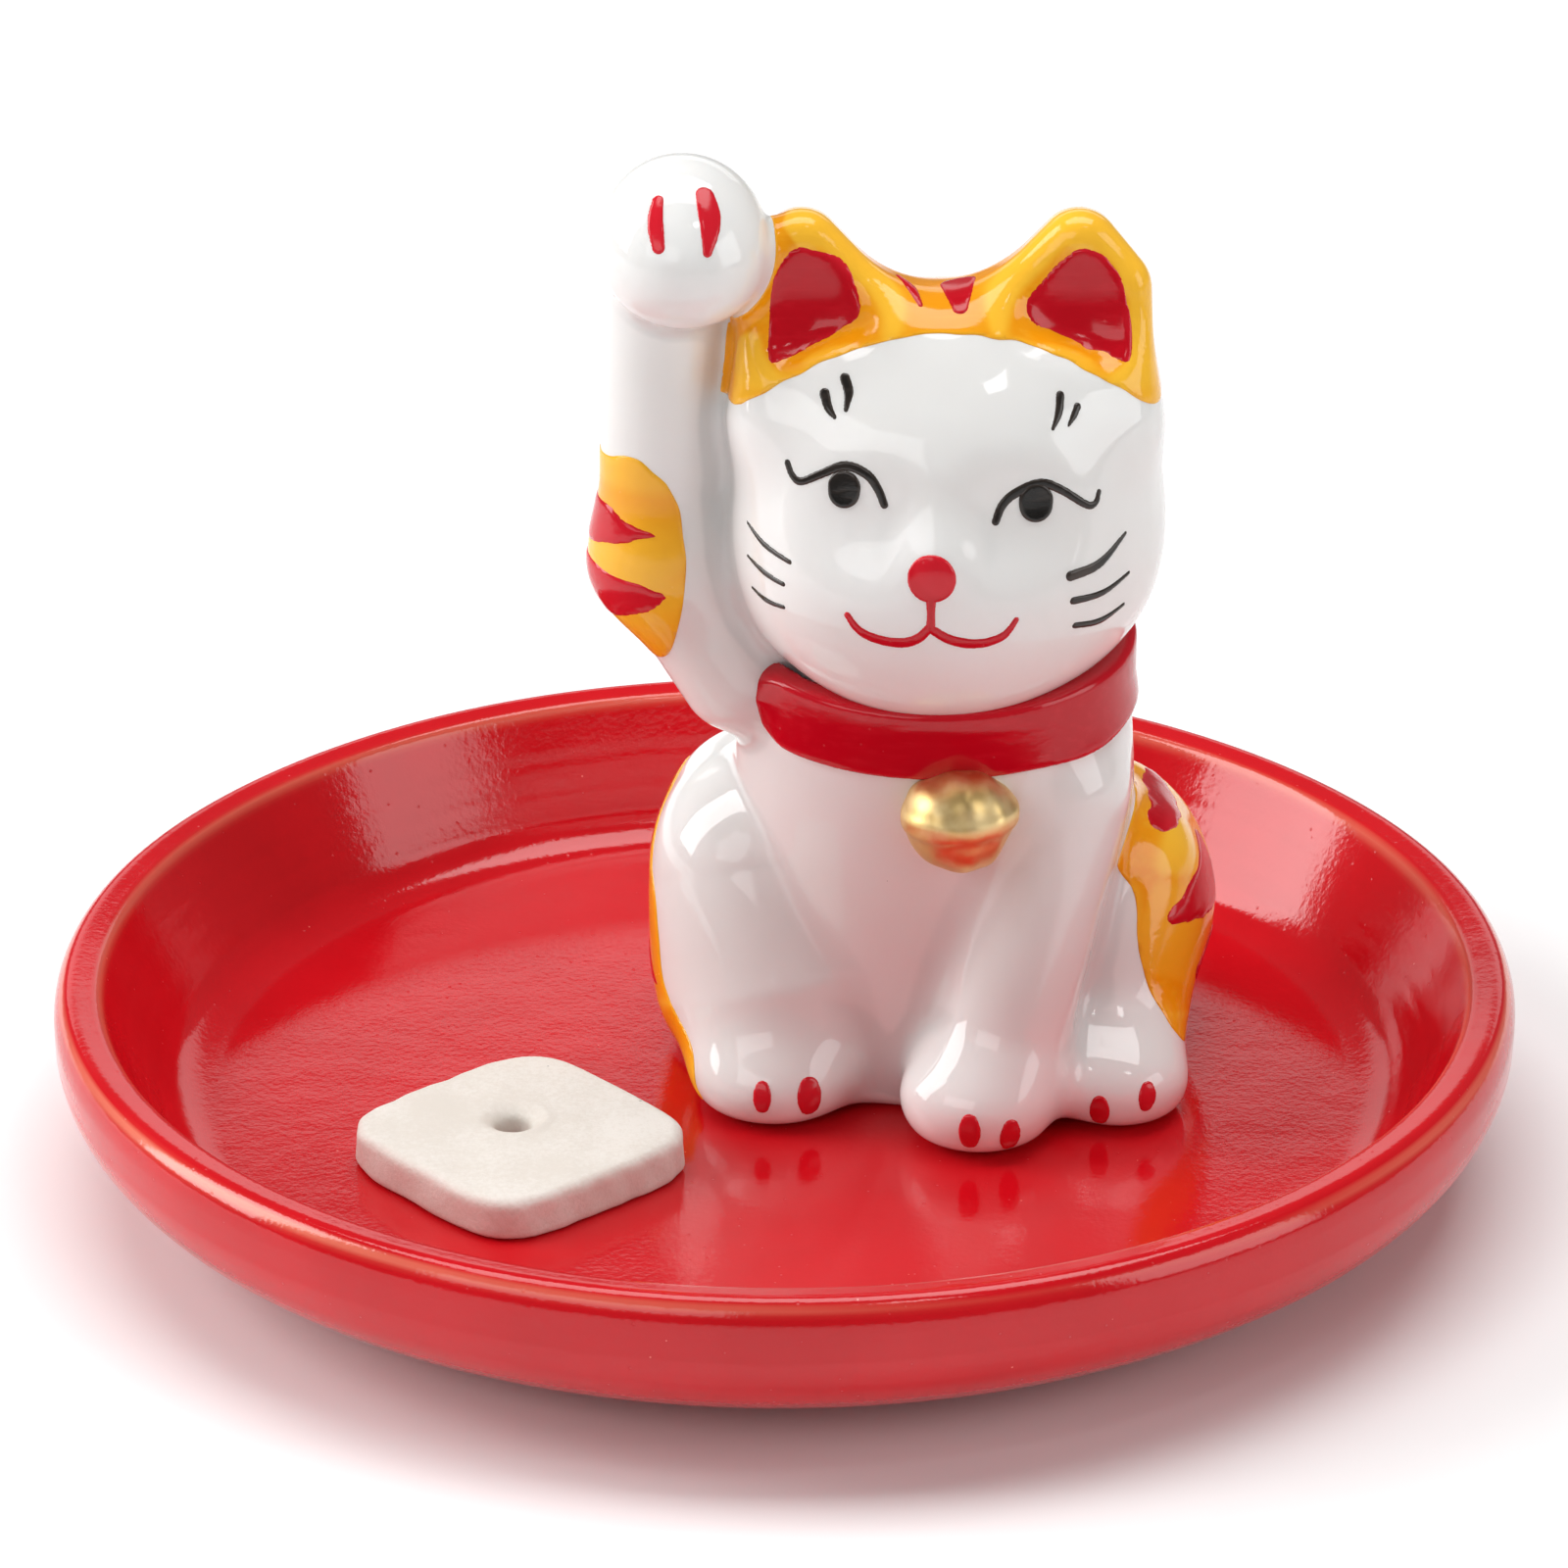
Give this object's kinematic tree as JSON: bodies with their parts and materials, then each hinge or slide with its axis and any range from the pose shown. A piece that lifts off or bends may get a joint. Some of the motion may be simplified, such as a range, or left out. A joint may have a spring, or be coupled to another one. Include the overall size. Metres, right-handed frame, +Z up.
{
  "type": "beckoning cat incense holder",
  "caption": "Hand-painted porcelain cat with one paw raised, standing in a shallow red glazed dish beside a loose unglazed tile that holds an incense stick.",
  "frame": {"origin": "on the dish's axis, on the surface it stands on", "axes": "+Z up; the cat looks along -Y; +X is to a viewer's right, on the side of the lowered paw"},
  "size_m": [0.121, 0.121, 0.0865],
  "materials": {
    "red_glaze": "glossy red glaze, paler and more orange where it thins on the rim",
    "bare_foot": "bare fired clay, matte",
    "bisque_tile": "unglazed warm white clay, matte and finely grained",
    "white_porcelain": "clear glossy glaze over white porcelain",
    "amber_enamel": "glossy amber overglaze enamel, brushed by hand",
    "red_enamel": "glossy red overglaze enamel, brushed by hand",
    "black_enamel": "thin black-brown enamel lines",
    "gold_lustre": "bright gold lustre with fine rubs"
  },
  "bodies": {
    "dish": {"dish_bowl": "red_glaze", "foot_ring": "bare_foot"},
    "tile": {"incense_tile": "bisque_tile"},
    "cat": {"torso": "white_porcelain", "head": "white_porcelain", "left_ear": "amber_enamel", "right_ear": "amber_enamel", "raised_arm": "white_porcelain", "raised_paw": "white_porcelain", "lowered_foreleg": "white_porcelain", "left_hind_paw": "white_porcelain", "right_hind_paw": "white_porcelain", "tail": "white_porcelain", "collar": "red_enamel", "bell": "gold_lustre"}
  },
  "joints": [
    {"name": "cat_lift", "type": "slide", "parent": "dish", "child": "cat", "axis": [0, 0, 1], "range_m": [0, 0.03]},
    {"name": "tile_lift", "type": "slide", "parent": "dish", "child": "tile", "axis": [0, 0, 1], "range_m": [0, 0.03]}
  ]
}
